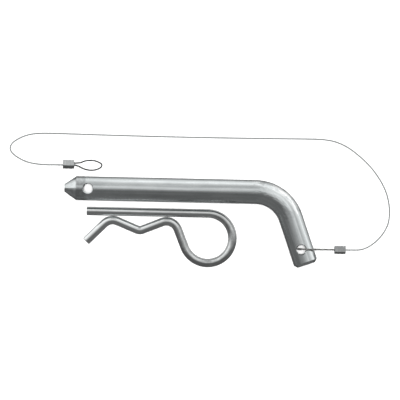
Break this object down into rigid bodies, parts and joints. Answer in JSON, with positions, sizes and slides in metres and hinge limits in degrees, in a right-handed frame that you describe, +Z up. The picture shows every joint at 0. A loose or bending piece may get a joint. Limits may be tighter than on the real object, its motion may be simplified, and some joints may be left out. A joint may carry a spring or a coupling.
{
  "type": "hitch pin",
  "caption": "Bent round hitch pin with a blunt conical tip and cross holes, laid out with its hairpin clip and a wire-rope lanyard whose eye passes through the handle.",
  "frame": {"origin": "centre of the clip hole, on the shank's axis", "axes": "+X along the shank towards the bend, -Y the way the handle turns, +Z up from the surface it lies on; that surface is z = -6.35 mm"},
  "size_m": [0.2031, 0.0698, 0.0136],
  "materials": {
    "pin_zinc": "bright zinc plate with drawing lines along the bar",
    "clip_zinc": "bright zinc plate on drawn wire",
    "wire_rope": "bare galvanised strands",
    "ferrule": "satin, with press marks"
  },
  "bodies": {
    "pin": {"hitch_pin": "pin_zinc"},
    "clip": {"clip_straight_leg": "clip_zinc", "clip_ring": "clip_zinc"},
    "clip_arm": {"clip_wavy_leg": "clip_zinc"},
    "lanyard": {"lanyard_rope": "wire_rope", "lanyard_handle_eye": "wire_rope", "lanyard_free_eye": "wire_rope", "handle_ferrule": "ferrule", "free_ferrule": "ferrule"}
  },
  "joints": [
    {"name": "clip_lift", "type": "slide", "parent": "pin", "child": "clip", "axis": [0, 0, 1], "range_m": [0, 0.06]},
    {"name": "clip_spring", "type": "hinge", "parent": "clip", "child": "clip_arm", "pos_m": [0.064, -0.0251, -0.0041], "axis": [0, 0, 1], "range_deg": [0, 7], "stiffness_Nm_per_rad": 40, "deforming": ["clip_ring"]},
    {"name": "lanyard_swing", "type": "hinge", "parent": "pin", "child": "lanyard", "pos_m": [0.11375, -0.03007, 0], "axis": [0, 0, 1], "range_deg": [-25, 0], "deforming": ["lanyard_handle_eye"]}
  ]
}
